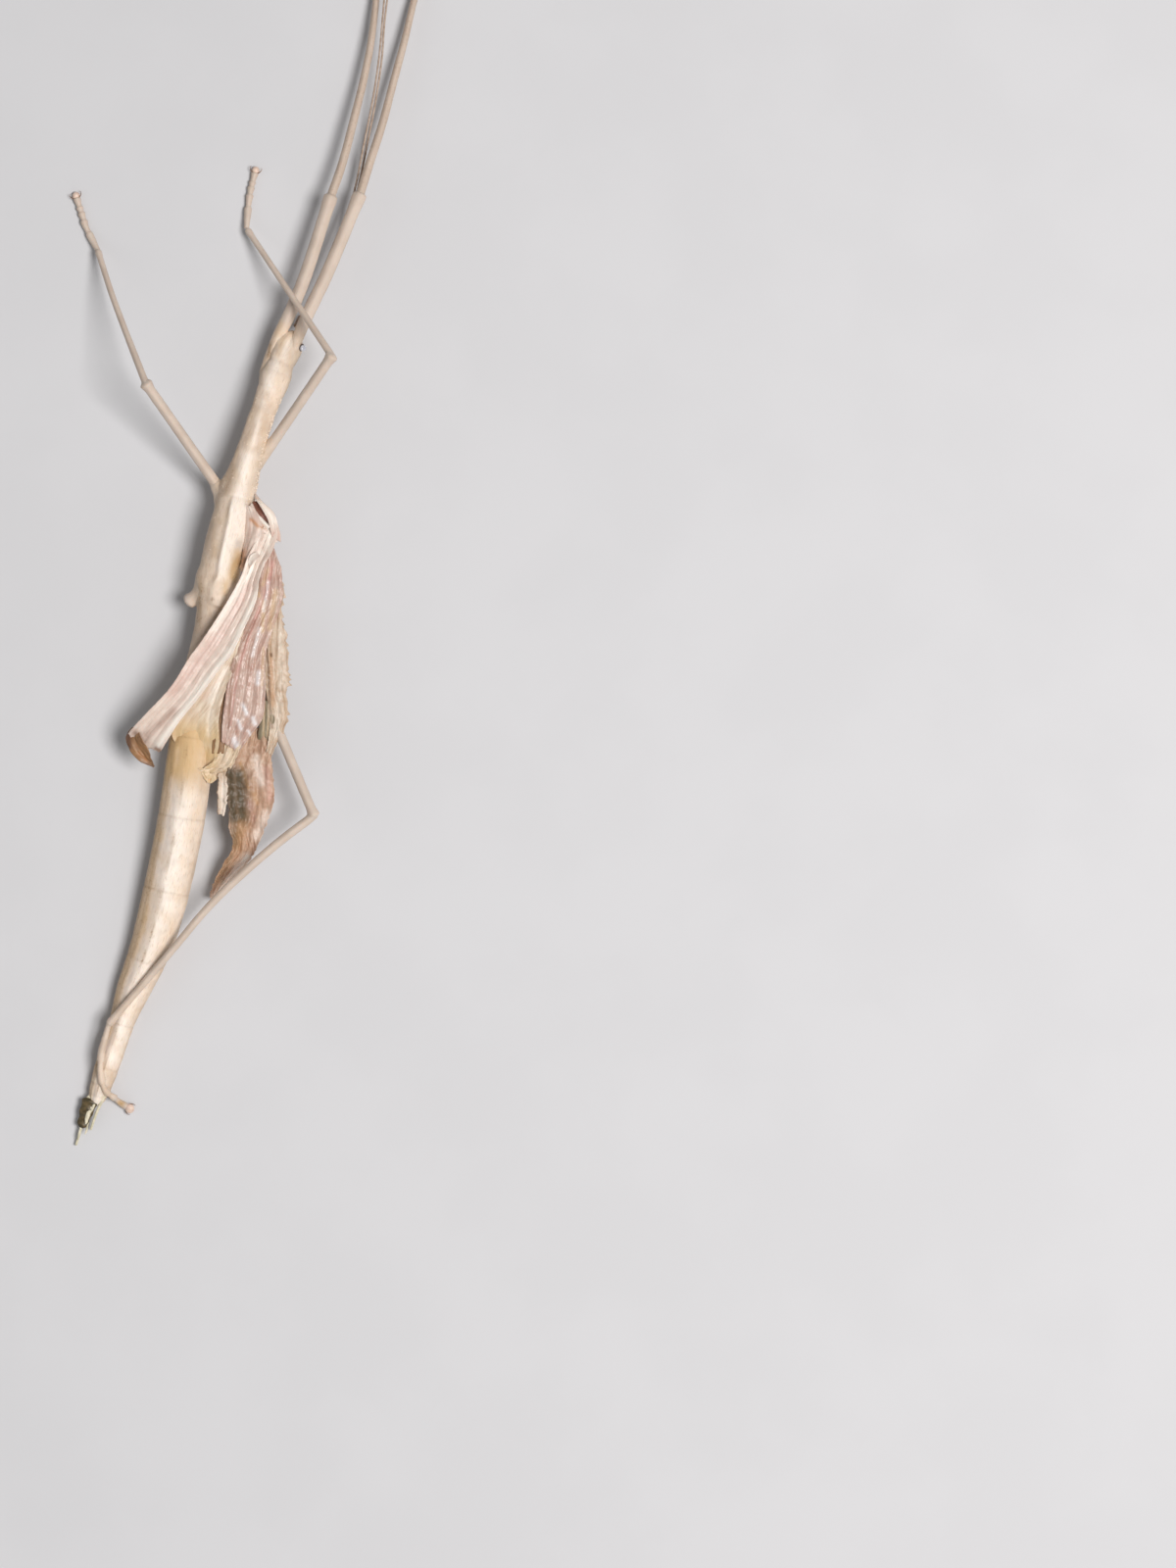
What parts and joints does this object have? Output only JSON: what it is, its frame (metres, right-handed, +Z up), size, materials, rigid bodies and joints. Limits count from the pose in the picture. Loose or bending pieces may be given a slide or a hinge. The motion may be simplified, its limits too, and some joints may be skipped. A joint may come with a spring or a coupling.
{
  "type": "stick insect",
  "caption": "Adult female winged stick insect lying at rest, forelegs and feelers stretched ahead, wings crumpled, one hind leg lost to a stump; a still natural-history model.",
  "frame": {"origin": "on the ground under the middle of the animal's bounding box, feelers and feet included", "axes": "+Z up from the ground, +Y the way the head points, +X to the insect's right"},
  "size_m": [0.0382, 0.1342, 0.0104],
  "materials": {
    "head_skin": "satin",
    "body_skin": "satin",
    "leg_skin": "satin",
    "foot": "satin",
    "eye": "glossy",
    "mouth": "satin",
    "feeler": "satin",
    "tail": "satin",
    "wing_cream": "satin",
    "wing_pink": "satin",
    "wing_brown": "satin"
  },
  "bodies": {
    "root": {"head": "head_skin", "prothorax": "body_skin", "mesothorax": "body_skin", "metathorax": "body_skin", "median_segment": "body_skin", "abdomen_2": "body_skin", "abdomen_3": "body_skin", "abdomen_4": "body_skin", "abdomen_5": "body_skin", "abdomen_6": "body_skin", "abdomen_7": "body_skin", "abdomen_8": "body_skin", "abdomen_9": "body_skin", "abdomen_10": "body_skin", "eye_right": "eye", "eye_left": "eye", "mouthparts": "mouth", "feeler_base_right": "feeler", "feeler_right": "feeler", "feeler_base_left": "feeler", "feeler_left": "feeler", "fore_left_coxa": "leg_skin", "fore_left_femur": "leg_skin", "fore_left_tibia": "leg_skin", "fore_left_tarsus": "foot", "fore_right_coxa": "leg_skin", "fore_right_femur": "leg_skin", "fore_right_tibia": "leg_skin", "fore_right_tarsus": "foot", "mid_left_coxa": "leg_skin", "mid_left_femur": "leg_skin", "mid_left_tibia": "leg_skin", "mid_left_tarsus": "foot", "mid_right_coxa": "leg_skin", "mid_right_femur": "leg_skin", "mid_right_tibia": "leg_skin", "mid_right_tarsus": "foot", "hind_right_coxa": "leg_skin", "hind_right_femur": "leg_skin", "hind_right_tibia": "leg_skin", "hind_right_tarsus": "foot", "hind_left_stump": "leg_skin", "cercus_right": "tail", "cercus_left": "tail", "tail_plate": "tail", "tegmen": "wing_cream", "tegmen_flap": "wing_cream", "hindwing_strap": "wing_cream", "hindwing_edge": "wing_cream", "wing_shred": "wing_cream", "hindwing_fan": "wing_pink", "hindwing_membrane": "wing_brown", "wing_lobe": "wing_brown"}
  },
  "joints": []
}
